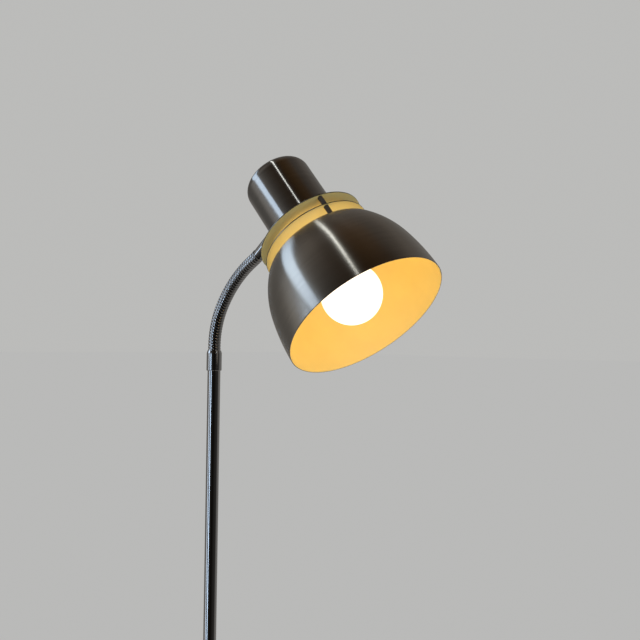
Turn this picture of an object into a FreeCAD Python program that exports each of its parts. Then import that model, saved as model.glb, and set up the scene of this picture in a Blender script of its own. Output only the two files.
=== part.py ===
import FreeCAD, Part
import math
import os
import re

import Sketcher
from FreeCAD import Placement, Rotation, Vector

# A gooseneck reading floor lamp: a weighted round base, a slim two-piece pole, a ribbed
# flexible neck and a bell shade with two louvre gaps under a cylindrical cap.
# Frame: +Z up, the floor is Z = 0, the pole stands on the Z axis and the neck bends towards +X.

OUT_FOLDER = "parts"

# How far a cutting shape runs past the face that it cuts, in millimetres.
SPILL = 0.5

# Driving dimensions in millimetres, degrees and counts.
SIZES = {
    # base
    "base_diameter": 250,
    "base_height": 26,
    "cover_wall": 1.2,
    "cover_lift": 1.5,
    "cover_edge_height": 5,
    "cover_edge_radius": 9,
    "cover_seat_radius": 22,
    "pad_thickness": 2.5,
    "pad_inset": 7,
    "weight_inset": 6,
    "weight_edge_height": 4.5,
    "weight_shoulder_inset": 13,
    "weight_gap": 0.4,
    "recess_radius": 17,
    "recess_depth": 15.5,
    "slot_width": 6.4,
    "slot_depth": 7.6,
    "lead_height": 6.5,
    # threaded tube and nuts
    "thread_radius": 5,
    "thread_bore": 3.3,
    "nut_across_flats": 17,
    "nut_thickness": 5,
    "washer_radius": 13,
    "washer_thickness": 1.5,
    "neck_washer_radius": 9.75,
    "stud_proud": 0.5,
    "neck_nipple_proud": 2,
    "holder_nipple_proud": 2.5,
    "fit_gap": 0.05,
    "soft_gap": 0.3,
    # cord inlet
    "inlet_bore": 3.2,
    "inlet_radius": 4,
    "inlet_flange_radius": 4.8,
    "inlet_flange_thickness": 1.5,
    "inlet_flange_bevel": 0.5,
    "inlet_length": 6,
    # pole
    "pole_diameter": 14,
    "pole_wall": 1,
    "pole_joint_height": 560,
    "pole_bush_length": 30,
    "coupler_length": 60,
    "foot_collar_radius": 13,
    "foot_collar_height": 16,
    "foot_collar_rim": 3,
    "foot_collar_slope_height": 9.6,
    "foot_collar_neck": 1.6,
    # neck
    "neck_foot_height": 1100,
    "collar_radius": 8.25,
    "collar_length": 22,
    "collar_taper_length": 3,
    "collar_lip": 0.4,
    "fitting_flange_length": 10,
    "fitting_length": 35,
    "neck_diameter": 13.5,
    "neck_bore": 2.9,
    "rib_depth": 0.6,
    "rib_count": 40,
    "rib_pitch": 3.197,
    "first_ribs": 5,
    "ribs_per_link": 6,
    "joint_count": 6,
    "neck_start_length": 4,
    "low_bend_radius": 88,
    "low_bend_angle": 30,
    "high_bend_radius": 130,
    "high_bend_angle": 28,
    "neck_straight_length": 6.5,
    "return_bend_radius": 50,
    "return_bend_angle": 8.9,
    "ball_gap": 0.3,
    "flare_angle": 28,
    "ferrule_radius": 6.2,
    "ferrule_length": 33.13,
    "saddle_depth": 3,
    "nipple_overlap": 15,
    # lead
    "lead_radius": 2.3,
    "lead_end_gap": 0.9,
    "lead_base_bend": 7,
    "lead_head_bend": 10,
    "wire_radius": 0.9,
    "wire_spacing": 3,
    "wire_inset": 3,
    "wire_rise": 2.5,
    "lead_inset": 4,
    "switch_wire_foot": 5,
    "switch_wire_head": 3,
    "switch_wire_spacing": 12,
    # head, measured along its axis from the mouth of the shade
    "mouth_radius": 82.5,
    "shade_wall": 1,
    "belly_radius": 78.05,
    "belly_station": 45,
    "belly_curve": 230,
    "crown_radius": 61,
    "crown_station": 84,
    "crown_curve": 99.7,
    "shoulder_curve": 12,
    "neck_ring_radius": 56,
    "neck_ring_station": 88,
    "neck_opening": 47,
    "louvre_gap": 11,
    "upper_louvre_gap": 11.5,
    "plate_thickness": 1,
    "plate_radius": 56,
    "ring_opening": 38,
    "plate_opening": 24,
    "spacer_radius": 2.5,
    "spacer_circle": 52.5,
    "spacer_angle": -30,
    "spacer_count": 3,
    "screw_radius": 1.5,
    "screw_head_radius": 2.4,
    "screw_head_height": 1.6,
    "cap_radius": 35,
    "cap_wall": 1.2,
    "cap_length": 81.5,
    "cap_corner": 12,
    "neck_station": 147.18,
    "bracket_thickness": 2,
    "bracket_ear_width": 24,
    "bracket_ear_length": 53,
    "bracket_ear_distance": 31.2,
    "plate_screw_circle": 29,
    # lamp holder and bulb
    "holder_radius": 19.5,
    "holder_wall": 2,
    "holder_crown_radius": 14,
    "holder_crown_height": 8,
    "holder_crown_wall": 3.5,
    "holder_chamfer": 5,
    "dome_length": 14.5,
    "skirt_length": 26,
    "skirt_radius": 17.5,
    "skirt_bore": 15,
    "skirt_flange_length": 8,
    "contact_block_radius": 14.5,
    "contact_block_thickness": 4,
    "contact_block_chamfer": 2.5,
    "centre_contact_radius": 3.5,
    "centre_contact_height": 1.6,
    "contact_bevel": 1,
    "shell_radius": 14.3,
    "shell_wall": 0.6,
    "shell_length": 28,
    "bulb_radius": 30,
    "bulb_wall": 0.8,
    "bulb_neck_radius": 12.9,
    "bulb_neck_angle": 45,
    "bulb_glass_length": 78,
    "bulb_collar_length": 6.717,
    "bulb_thread_radius": 13.2,
    "bulb_base_length": 21,
    "bulb_taper_length": 2.5,
    "bulb_taper_radius": 8,
    "bulb_tip_radius": 4.5,
    "bulb_tip_height": 1.6,
    # terminal block and switch
    "block_length": 13,
    "block_width": 22,
    "block_height": 10,
    "block_distance": 11,
    "switch_radius": 8,
    "switch_depth": 22,
    "switch_neck_radius": 5.9,
    "switch_neck_height": 3,
    "bezel_radius": 8.5,
    "bezel_edge": 0.8,
    "button_radius": 3.4,
    "button_gap": 0.2,
    "button_length": 11.5,
    "button_proud": 4,
    "button_edge": 1,
    "button_room": 4,
}

# Lengths that follow from the driving dimensions, as spreadsheet expressions.
BASE_R = "(base_diameter / 2)"
COVER_TOP = "base_height"
COVER_UNDER = "(base_height - cover_wall)"
EDGE_TOP = "(cover_edge_height + cover_edge_radius)"
WEIGHT_R = "(base_diameter / 2 - weight_inset)"
RECESS_TOP = "(pad_thickness + recess_depth)"
NUT_TOP = "(pad_thickness + recess_depth - washer_thickness)"
STUD_HOLE = "(thread_radius + fit_gap)"
POLE_R = "(pole_diameter / 2)"
POLE_BORE = "(pole_diameter / 2 - pole_wall)"
PLUG_R = "(pole_diameter / 2 - pole_wall - fit_gap)"
POLE_TOP = "(neck_foot_height - fitting_flange_length)"
NECK_R = "(neck_diameter / 2)"
RING_LOW = "(neck_ring_station + louvre_gap)"
RING_HIGH = "(neck_ring_station + louvre_gap + plate_thickness)"
PLATE_LOW = f"({RING_HIGH} + upper_louvre_gap)"
PLATE_HIGH = f"({PLATE_LOW} + plate_thickness)"
BRACKET_TOP = f"({PLATE_HIGH} + bracket_thickness)"
CAP_TOP = f"({PLATE_HIGH} + cap_length)"
CAP_BORE = "(cap_radius - cap_wall)"
DOME_LOW = f"({PLATE_HIGH} - dome_length)"
CAVITY_TOP = f"({PLATE_HIGH} - holder_crown_wall)"
BLOCK_LOW = f"({CAVITY_TOP} - contact_block_thickness)"
BULB_BASE_TOP = "(bulb_glass_length + bulb_base_length)"
BULB_TAPER_TOP = f"({BULB_BASE_TOP} + bulb_taper_length)"
BULB_TOP = f"({BULB_TAPER_TOP} + bulb_tip_height)"
BULB_FOOT = f"({BLOCK_LOW} - centre_contact_height - soft_gap - {BULB_TOP})"
SWITCH_SEAT = f"({CAP_TOP} - cap_wall)"
BEZEL_TOP = f"({CAP_TOP} + switch_neck_height)"

doc = FreeCAD.newDocument("reading_lamp")
sheet = doc.addObject("Spreadsheet::Sheet", "Sizes")
for row, (alias, number) in enumerate(SIZES.items(), start=1):
    sheet.set(f"A{row}", alias)
    sheet.set(f"B{row}", str(number))
    sheet.setAlias(f"B{row}", alias)
doc.recompute()

subparts = []


def cell(text):
    """The expression with each size's name pointed at the spreadsheet."""
    return re.sub(r"\b([a-z]\w*)\b(?!\()", r"Sizes.\1", str(text))


def value(text):
    """The number that an expression has now."""
    return float(sheet.evalExpression(cell(text)))


def keep(piece, label, placement=None):
    """Mark an object as a finished sub-part under its own label."""
    if placement is not None:
        piece.Placement = placement
    piece.Label = label
    subparts.append(piece)
    return piece


def body_plane(body, role):
    return next(item for item in body.Origin.OriginFeatures if item.Role == role)


def arc_centre(start, end, radius, side):
    """Centre of the short arc from start to end; side 1 puts it on the left of the way."""
    way = end - start
    middle = (start + end) * 0.5
    rise = math.sqrt(radius ** 2 - (way.Length / 2) ** 2)
    left = Vector(-way.y, way.x, 0).normalize()
    return middle + left * (rise * side)


def draw_outline(sketch, outline):
    """Draw a closed outline. A corner is (r, z) or (r, z, curve, side), where curve is the
    radius of the arc that leaves that corner."""
    corners = [Vector(value(corner[0]), value(corner[1]), 0) for corner in outline]
    ends = []
    for index, corner in enumerate(outline):
        start = corners[index]
        end = corners[(index + 1) % len(corners)]
        if len(corner) == 2:
            sketch.addGeometry(Part.LineSegment(start, end))
            ends.append((1, 2))
            continue
        radius = value(corner[2])
        centre = arc_centre(start, end, radius, corner[3])
        first, last = (start, end) if corner[3] > 0 else (end, start)
        first_angle = math.atan2(first.y - centre.y, first.x - centre.x)
        last_angle = math.atan2(last.y - centre.y, last.x - centre.x)
        circle = Part.Circle(centre, Vector(0, 0, 1), radius)
        sketch.addGeometry(Part.ArcOfCircle(circle, first_angle, last_angle))
        ends.append((1, 2) if corner[3] > 0 else (2, 1))
    for index, corner in enumerate(outline):
        before = index - 1 if index else len(outline) - 1
        sketch.addConstraint(
            Sketcher.Constraint("Coincident", before, ends[before][1], index, ends[index][0]))
        for kind, axis, text in (("DistanceX", -2, corner[0]), ("DistanceY", -1, corner[1])):
            if str(text) == "0":
                sketch.addConstraint(
                    Sketcher.Constraint("PointOnObject", index, ends[index][0], axis))
                continue
            number = sketch.addConstraint(
                Sketcher.Constraint(kind, -1, 1, index, ends[index][0], value(text)))
            sketch.setExpression(f"Constraints[{number}]", cell(text))
        if len(corner) > 2:
            number = sketch.addConstraint(Sketcher.Constraint("Radius", index, value(corner[2])))
            sketch.setExpression(f"Constraints[{number}]", cell(corner[2]))


def turned(name, outline):
    """A piece turned about the Z axis from an outline in radius and height."""
    body = doc.addObject("PartDesign::Body", name)
    sketch = body.newObject("Sketcher::SketchObject", name + "_outline")
    sketch.AttachmentSupport = [(body_plane(body, "XZ_Plane"), "")]
    sketch.MapMode = "FlatFace"
    draw_outline(sketch, outline)
    turn = body.newObject("PartDesign::Revolution", name + "_turn")
    turn.Profile = sketch
    turn.ReferenceAxis = (sketch, ["V_Axis"])
    turn.Angle = 360
    body.Tip = turn
    return body


def tube(name, outer, inner, low, high):
    """A plain turned sleeve."""
    return turned(name, [(inner, low), (outer, low), (outer, high), (inner, high)])


def place(piece, spot, turn=None):
    """Bind a primitive's place to the spreadsheet."""
    if turn is not None:
        piece.Placement = Placement(Vector(), turn)
    for letter, text in zip("xyz", spot):
        if str(text) != "0":
            piece.setExpression(f"Placement.Base.{letter}", cell(text))
    return piece


def cylinder(name, radius, length, spot, turn=None):
    piece = doc.addObject("Part::Cylinder", name)
    piece.setExpression("Radius", cell(radius))
    piece.setExpression("Height", cell(length))
    return place(piece, spot, turn)


def box(name, length, width, height, spot):
    piece = doc.addObject("Part::Box", name)
    for side, text in (("Length", length), ("Width", width), ("Height", height)):
        piece.setExpression(side, cell(text))
    return place(piece, spot)


def cut(name, base, *tools):
    """Base less every tool."""
    result = base
    for number, tool in enumerate(tools, start=1):
        less = doc.addObject("Part::Cut", f"{name}_cut_{number}")
        less.Base = result
        less.Tool = tool
        result = less
    return result


def join(name, first, second):
    both = doc.addObject("Part::Fuse", name + "_join")
    both.Base = first
    both.Tool = second
    return both


def group(name, pieces):
    """Separate like pieces that share one label."""
    together = doc.addObject("Part::Compound", name + "_set")
    together.Links = pieces
    return together


def shaped(name, shape):
    """A free-form sub-part whose shape is worked out here from the spreadsheet's values."""
    piece = doc.addObject("Part::Feature", name)
    piece.Shape = shape
    return piece


def hex_nut(name, low, spot=("0", "0"), turn=None, flats="nut_across_flats", thick="nut_thickness",
            bore=STUD_HOLE):
    prism = doc.addObject("Part::Prism", name + "_prism")
    prism.Polygon = 6
    prism.setExpression("Circumradius", cell(f"{flats} / 2 / cos(30)"))
    prism.setExpression("Height", cell(thick))
    hole = cylinder(name + "_hole", bore, f"{thick} * 3", ("0", "0", f"-{thick}"))
    nut = cut(name, prism, hole)
    return place(nut, (spot[0], spot[1], low), turn)


def pipe_edges(points_and_bends):
    """Straight runs in one plane, joined by tangent arcs.
    Each entry is (point, bend radius); the two ends have bend radius 0."""
    edges = []
    last = points_and_bends[0][0]
    for index in range(1, len(points_and_bends) - 1):
        corner, bend = points_and_bends[index]
        back = (points_and_bends[index - 1][0] - corner).normalize()
        ahead = (points_and_bends[index + 1][0] - corner).normalize()
        half = back.getAngle(ahead) / 2
        run_in = corner + back * (bend / math.tan(half))
        run_out = corner + ahead * (bend / math.tan(half))
        inward = (back + ahead).normalize()
        middle = corner + inward * (bend / math.sin(half) - bend)
        if (run_in - last).Length > 1e-6:
            edges.append(Part.LineSegment(last, run_in).toShape())
        edges.append(Part.Arc(run_in, middle, run_out).toShape())
        last = run_out
    finish = points_and_bends[-1][0]
    if (finish - last).Length > 1e-6:
        edges.append(Part.LineSegment(last, finish).toShape())
    return edges


def pipe(points_and_bends, radius):
    """A round solid along straight runs and tangent arcs."""
    return swept(pipe_edges(points_and_bends), radius)


def swept(edges, radius):
    """A round solid of one radius along joined edges."""
    path = Part.Wire(edges)
    start = edges[0].valueAt(edges[0].FirstParameter)
    way = edges[0].tangentAt(edges[0].FirstParameter)
    profile = Part.Wire([Part.makeCircle(radius, start, way)])
    solid = path.makePipeShell([profile], True, False)
    expected = math.pi * radius ** 2 * path.Length
    if abs(solid.Volume - expected) > 0.01 * expected:
        raise ValueError(f"a swept round has volume {solid.Volume:.1f}, not {expected:.1f}")
    return solid


# ---------------------------------------------------------------- base and pole

X_TURN = Rotation(Vector(0, 1, 0), 90)       # local Z points along +X
BACK_TURN = Rotation(Vector(0, 1, 0), -90)   # local Z points along -X


def make_base():
    keep(turned("pad", [("0", "0"), (f"{BASE_R} - pad_inset", "0"),
                        (f"{BASE_R} - pad_inset", "pad_thickness"), ("0", "pad_thickness")]),
         "base_pad")

    cone_low = f"({EDGE_TOP} - cover_wall - weight_gap)"
    blank = turned("weight", [
        ("recess_radius", "pad_thickness"),
        (WEIGHT_R, "pad_thickness"),
        (WEIGHT_R, "pad_thickness + weight_edge_height"),
        (f"{BASE_R} - weight_shoulder_inset", cone_low),
        ("cover_seat_radius", COVER_UNDER),
        (STUD_HOLE, COVER_UNDER),
        (STUD_HOLE, RECESS_TOP),
        ("recess_radius", RECESS_TOP)])
    slot = box("lead_slot", WEIGHT_R, "slot_width", "slot_depth",
               (f"-{WEIGHT_R}", "-slot_width / 2", "pad_thickness"))
    keep(cut("weight", blank, slot), "base_weight")

    shell = turned("cover", [
        (BASE_R, "cover_lift"),
        (BASE_R, "cover_edge_height", "cover_edge_radius", 1),
        (f"{BASE_R} - cover_edge_radius", EDGE_TOP),
        ("cover_seat_radius", COVER_TOP),
        (STUD_HOLE, COVER_TOP),
        (STUD_HOLE, COVER_UNDER),
        ("cover_seat_radius", COVER_UNDER),
        (f"{BASE_R} - cover_edge_radius", f"{EDGE_TOP} - cover_wall",
         "cover_edge_radius - cover_wall", -1),
        (f"{BASE_R} - cover_wall", "cover_edge_height"),
        (f"{BASE_R} - cover_wall", "cover_lift")])
    inlet_hole = cylinder("inlet_hole", "inlet_radius + fit_gap", "cover_edge_radius * 2",
                          (f"-{BASE_R} + cover_edge_radius", "0", "lead_height"), BACK_TURN)
    keep(cut("cover", shell, inlet_hole), "base_cover")

    bush = turned("inlet", [
        ("inlet_bore", "0"),
        ("inlet_radius", "0"),
        ("inlet_radius", "inlet_length"),
        ("inlet_flange_radius", "inlet_length"),
        ("inlet_flange_radius - inlet_flange_bevel", "inlet_length + inlet_flange_thickness"),
        ("inlet_bore", "inlet_length + inlet_flange_thickness")])
    keep(bush, "cord_inlet_bush",
         Placement(Vector(value(f"inlet_length - {BASE_R}"), 0, value("lead_height")), BACK_TURN))

    keep(tube("stud", "thread_radius", "thread_bore",
              f"{NUT_TOP} - nut_thickness - stud_proud", f"{COVER_TOP} + pole_bush_length"),
         "base_stud")
    keep(tube("washer", "washer_radius", STUD_HOLE, NUT_TOP, RECESS_TOP), "base_washer")
    keep(hex_nut("base_hex", f"{NUT_TOP} - nut_thickness"), "base_nut")


def make_pole():
    keep(turned("foot", [
        (f"{POLE_R} + fit_gap", COVER_TOP),
        ("foot_collar_radius", COVER_TOP),
        ("foot_collar_radius", f"{COVER_TOP} + foot_collar_rim"),
        (f"{POLE_R} + foot_collar_neck", f"{COVER_TOP} + foot_collar_slope_height"),
        (f"{POLE_R} + foot_collar_neck", f"{COVER_TOP} + foot_collar_height"),
        (f"{POLE_R} + fit_gap", f"{COVER_TOP} + foot_collar_height")]),
        "foot_collar")
    keep(tube("foot_bush", PLUG_R, STUD_HOLE, COVER_TOP, f"{COVER_TOP} + pole_bush_length"),
         "pole_foot_bush")
    keep(tube("pole_low", POLE_R, POLE_BORE, COVER_TOP, "pole_joint_height"), "lower_pole")
    keep(tube("pole_high", POLE_R, POLE_BORE, "pole_joint_height", POLE_TOP), "upper_pole")
    keep(tube("coupler", PLUG_R, "thread_bore", "pole_joint_height - coupler_length / 2",
              "pole_joint_height + coupler_length / 2"), "pole_coupler")
    low = "(neck_foot_height - collar_length)"
    bore = f"({POLE_R} + fit_gap)"
    keep(turned("collar", [
        (bore, low),
        ("collar_radius - collar_lip", low),
        ("collar_radius", f"{low} + collar_lip"),
        ("collar_radius", "neck_foot_height - collar_taper_length"),
        (f"{POLE_R} + collar_lip", "neck_foot_height"),
        (bore, "neck_foot_height")]),
        "top_collar")
    keep(turned("fitting", [
        ("neck_bore", "neck_foot_height - fitting_length"),
        (PLUG_R, "neck_foot_height - fitting_length"),
        (PLUG_R, POLE_TOP),
        (POLE_R, POLE_TOP),
        (POLE_R, "neck_foot_height"),
        ("neck_bore", "neck_foot_height")]),
        "neck_lower_fitting")


# ---------------------------------------------------------------- neck

def neck_runs():
    """The neck's centre line as runs of (length, turn): straight, two forward bends, straight,
    and a small bend back at the top. Turns are in radians."""
    runs = [(value("neck_start_length"), 0)]
    for name in ("low_bend", "high_bend"):
        turn = math.radians(value(name + "_angle"))
        runs.append((value(name + "_radius") * turn, turn))
    runs.append((value("neck_straight_length"), 0))
    turn = math.radians(value("return_bend_angle"))
    runs.append((value("return_bend_radius") * turn, -turn))
    return runs


def neck_place(length):
    """Point and direction of the neck's centre line, at a length from the top collar.
    It runs on straight past either end."""
    spot = Vector(0, 0, value("neck_foot_height"))
    lean = 0.0
    left = length
    for run, turn in neck_runs():
        part = min(left, run)
        if turn == 0:
            spot += Vector(math.sin(lean), 0, math.cos(lean)) * part
        else:
            bend = run / turn
            after = lean + part / bend
            spot += Vector(math.cos(lean) - math.cos(after), 0,
                           math.sin(after) - math.sin(lean)) * bend
            lean = after
        left -= part
        if left <= 0:
            break
    way = Vector(math.sin(lean), 0, math.cos(lean))
    return spot + way * max(left, 0), way


def neck_circle(length, radius):
    """A circle across the neck, with its own X axis held along Y so that lofts don't twist."""
    point, way = neck_place(length)
    side = Vector(0, 1, 0)
    circle = Part.makeCircle(radius)
    circle.Placement = Placement(point, Rotation(side, way.cross(side), way, "ZXY"))
    return Part.Wire([circle])


def neck_edges(start, end):
    """The neck's centre line between two lengths, as lines and arcs."""
    edges = []
    low = 0
    for run, turn in neck_runs() + [(max(end, 0) + 1, 0)]:
        first = start if not edges else low
        last = min(low + run, end)
        low += run
        if last <= first:
            continue
        points = [neck_place(length)[0] for length in (first, (first + last) / 2, last)]
        if turn:
            edges.append(Part.Arc(*points).toShape())
        else:
            edges.append(Part.LineSegment(points[0], points[2]).toShape())
    return edges


def link_ends():
    """The rib numbers at which one link of the neck hands over to the next."""
    first = int(value("first_ribs"))
    step = int(value("ribs_per_link"))
    pivots = [first + step * number for number in range(int(value("joint_count")))]
    return [0] + pivots + [int(value("rib_count"))]


# Shares of a rib's pitch at which its flank starts, its crest starts and ends, and its flank ends.
RIB_SHARES = (0.1, 0.25, 0.75, 0.9)


def neck_link(first_rib, last_rib, cup, ball):
    """One ribbed link: a cup at its lower end and a flared ball at its upper end."""
    pitch = value("rib_pitch")
    crest = value(NECK_R)
    groove = crest - value("rib_depth")
    start = first_rib * pitch
    end = last_rib * pitch
    rise, crest_start, crest_end, fall = RIB_SHARES
    stations = [(start, crest if cup else groove)]
    ribs_from = first_rib
    if cup:
        # the first two ribs run together as the plain rim that holds the ball
        stations += [(start + (1 + crest_end) * pitch, crest), (start + (1 + fall) * pitch, groove)]
        ribs_from += 2
    for rib in range(ribs_from, last_rib):
        for share, radius in ((rise, groove), (crest_start, crest), (crest_end, crest),
                              (fall, groove)):
            stations.append(((rib + share) * pitch, radius))
    stations.append((end, groove))
    solid = Part.makeLoft([neck_circle(*station) for station in stations], True, True)
    if ball:
        point, way = neck_place(end)
        solid = solid.fuse(Part.makeSphere(crest, point, way, 0, 90, 360))
        reach = crest + SPILL
        spread = math.tan(math.radians(value("flare_angle")))
        bore = value("neck_bore")
        flare = Part.makeCone(bore, bore + reach * spread, reach, point, way)
        solid = solid.cut(flare)
    if cup:
        solid = solid.cut(Part.makeSphere(crest + value("ball_gap"), neck_place(start)[0]))
    bore_path = neck_edges(start - SPILL, end + SPILL)
    solid = solid.cut(swept(bore_path, value("neck_bore")))
    return solid.removeSplitter()


def make_neck():
    ends = link_ends()
    pitch = value("rib_pitch")
    gap = value("lead_end_gap")
    for number, (first, last) in enumerate(zip(ends, ends[1:]), start=1):
        solid = neck_link(first, last, number > 1, last != ends[-1])
        keep(shaped(f"link_{number}", solid), f"neck_link_{number}")
        if 1 < number < len(ends) - 1:
            wire = swept(neck_edges(first * pitch + gap, last * pitch - gap), value("lead_radius"))
            keep(shaped(f"lead_{number}", wire), f"neck_lead_{number}")


def make_stand_lead():
    """The lead from the inlet through the base, the pole and the first link."""
    height = value("lead_height")
    start = Vector(-value(BASE_R) + value("inlet_length") + value("soft_gap"), 0, height)
    bend = value("lead_base_bend")
    corner = Vector(0, 0, height)
    run_in = corner - Vector(bend, 0, 0)
    run_out = corner + Vector(0, 0, bend)
    middle = run_in + Vector(math.sin(math.pi / 4), 0, 1 - math.cos(math.pi / 4)) * bend
    first_pivot = link_ends()[1] * value("rib_pitch")
    neck = neck_edges(0, first_pivot - value("lead_end_gap"))
    straight_top = neck_place(value("neck_start_length"))[0]
    edges = [
        Part.LineSegment(start, run_in).toShape(),
        Part.Arc(run_in, middle, run_out).toShape(),
        Part.LineSegment(run_out, straight_top).toShape()]
    keep(shaped("lead_stand", swept(edges + neck[1:], value("lead_radius"))), "stand_lead")


# ---------------------------------------------------------------- head

def head_frame():
    """The head's own frame: its origin is the centre of the shade's mouth, Z runs along the
    axis towards the cap, and X is the way in which the neck arrives."""
    arrival = value("rib_count * rib_pitch + ferrule_length + cap_radius")
    point, way = neck_place(arrival)
    lean = value("low_bend_angle + high_bend_angle - return_bend_angle")
    rotation = Rotation(Vector(0, 1, 0), lean - 90)
    axis = rotation.multVec(Vector(0, 0, 1))
    return Placement(point - axis * value("neck_station"), rotation)


def polar(name, maker, angle="spacer_angle", count="spacer_count", circle="spacer_circle"):
    """Like pieces round the head's axis. maker takes a name and a spot in X and Y."""
    pieces = []
    for number in range(int(value(count))):
        bearing = f"({angle} + {number} * 360 / {count})"
        spot = (f"{circle} * cos({bearing})", f"{circle} * sin({bearing})")
        pieces.append(maker(f"{name}_{number + 1}", spot))
    return pieces


def make_shade(frame):
    wall = "shade_wall"
    blank = turned("bell", [
        ("mouth_radius", "0", "belly_curve", 1),
        ("belly_radius", "belly_station", "crown_curve", 1),
        ("crown_radius", "crown_station", "shoulder_curve", 1),
        ("neck_ring_radius", "neck_ring_station"),
        ("neck_opening", "neck_ring_station"),
        ("neck_opening", f"neck_ring_station - {wall}"),
        (f"neck_ring_radius - {wall}", f"neck_ring_station - {wall}", "shoulder_curve", -1),
        (f"crown_radius - {wall}", "crown_station", "crown_curve", -1),
        (f"belly_radius - {wall}", "belly_station", "belly_curve", -1),
        (f"mouth_radius - {wall}", "0")])
    holes = polar("bell_hole", lambda name, spot: cylinder(
        name, "screw_radius + fit_gap", "shade_wall * 4",
        spot + ("neck_ring_station - shade_wall * 2",)))
    keep(cut("bell", blank, *holes), "shade", frame)


def make_louvres(frame):
    for label, inner, low, high in (("louvre_ring", "ring_opening", RING_LOW, RING_HIGH),
                                    ("upper_plate", "plate_opening", PLATE_LOW, PLATE_HIGH)):
        blank = tube(label + "_blank", "plate_radius", inner, low, high)
        holes = polar(label + "_hole", lambda name, spot: cylinder(
            name, "screw_radius + fit_gap", "plate_thickness * 3",
            spot + (f"{low} - plate_thickness",)))
        if label == "upper_plate":
            holes += polar(label + "_fix", lambda name, spot: cylinder(
                name, "screw_radius + fit_gap", "plate_thickness * 3",
                spot + (f"{low} - plate_thickness",)), "90", "2", "plate_screw_circle")
        keep(cut(label, blank, *holes), label, frame)

    for label, low, high in (("lower_spacers", "neck_ring_station", RING_LOW),
                             ("upper_spacers", RING_HIGH, PLATE_LOW)):
        def spacer(name, spot):
            outer = cylinder(name + "_outer", "spacer_radius", f"{high} - {low}", spot + (low,))
            inner = cylinder(name + "_inner", "screw_radius + fit_gap", f"{high} - {low}",
                             spot + (low,))
            return cut(name, outer, inner)
        keep(group(label, polar(label, spacer)), label, frame)

    nut_height = "screw_head_height"
    under = "(neck_ring_station - shade_wall)"

    def screw(name, spot):
        shank = cylinder(name + "_shank", "screw_radius", f"{PLATE_HIGH} + {nut_height} - {under}",
                         spot + (under,))
        head = cylinder(name + "_head", "screw_head_radius", "screw_head_height",
                        spot + (f"{under} - screw_head_height",))
        return join(name, shank, head)

    def cap_nut(name, spot):
        outer = cylinder(name + "_outer", "screw_head_radius", nut_height, spot + (PLATE_HIGH,))
        inner = cylinder(name + "_inner", "screw_radius + fit_gap", nut_height,
                         spot + (PLATE_HIGH,))
        return cut(name, outer, inner)

    keep(group("louvre_screws", polar("louvre_screw", screw)), "louvre_screws", frame)
    keep(group("louvre_nuts", polar("louvre_nut", cap_nut)), "louvre_nuts", frame)


def make_cap(frame):
    shell = turned("cap_shell", [
        ("cap_radius", PLATE_HIGH),
        ("cap_radius", f"{CAP_TOP} - cap_corner", "cap_corner", 1),
        ("cap_radius - cap_corner", CAP_TOP),
        ("switch_neck_radius + fit_gap", CAP_TOP),
        ("switch_neck_radius + fit_gap", SWITCH_SEAT),
        ("cap_radius - cap_corner", SWITCH_SEAT, "cap_corner - cap_wall", -1),
        (CAP_BORE, f"{CAP_TOP} - cap_corner"),
        (CAP_BORE, PLATE_HIGH)])
    neck_hole = cylinder("cap_neck_hole", STUD_HOLE, "cap_radius",
                         ("-cap_radius - cap_wall", "0", "neck_station"), X_TURN)
    keep(cut("cap_shell", shell, neck_hole), "cap", frame)

    disc = tube("bracket_disc", f"{CAP_BORE} - soft_gap", STUD_HOLE, PLATE_HIGH, BRACKET_TOP)
    ear = box("bracket_ear", "bracket_thickness", "bracket_ear_width", "bracket_ear_length",
              ("-bracket_ear_distance", "-bracket_ear_width / 2", PLATE_HIGH))
    ear_hole = cylinder("bracket_ear_hole", STUD_HOLE, "bracket_thickness * 3",
                        ("-bracket_ear_distance - bracket_thickness", "0", "neck_station"), X_TURN)
    taps = polar("bracket_tap", lambda name, spot: cylinder(
        name, "screw_radius + fit_gap", "bracket_thickness * 3",
        spot + (f"{PLATE_HIGH} - bracket_thickness",)), "90", "2", "plate_screw_circle")
    keep(cut("bracket", join("bracket", disc, ear), ear_hole, *taps), "holder_bracket", frame)

    def plate_screw(name, spot):
        shank = cylinder(name + "_shank", "screw_radius", "plate_thickness + bracket_thickness",
                         spot + (PLATE_LOW,))
        head = cylinder(name + "_head", "screw_head_radius", "screw_head_height",
                        spot + (f"{PLATE_LOW} - screw_head_height",))
        return join(name, shank, head)

    screws = polar("plate_screw", plate_screw, "90", "2", "plate_screw_circle")
    keep(group("plate_screws", screws), "plate_screws", frame)


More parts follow.
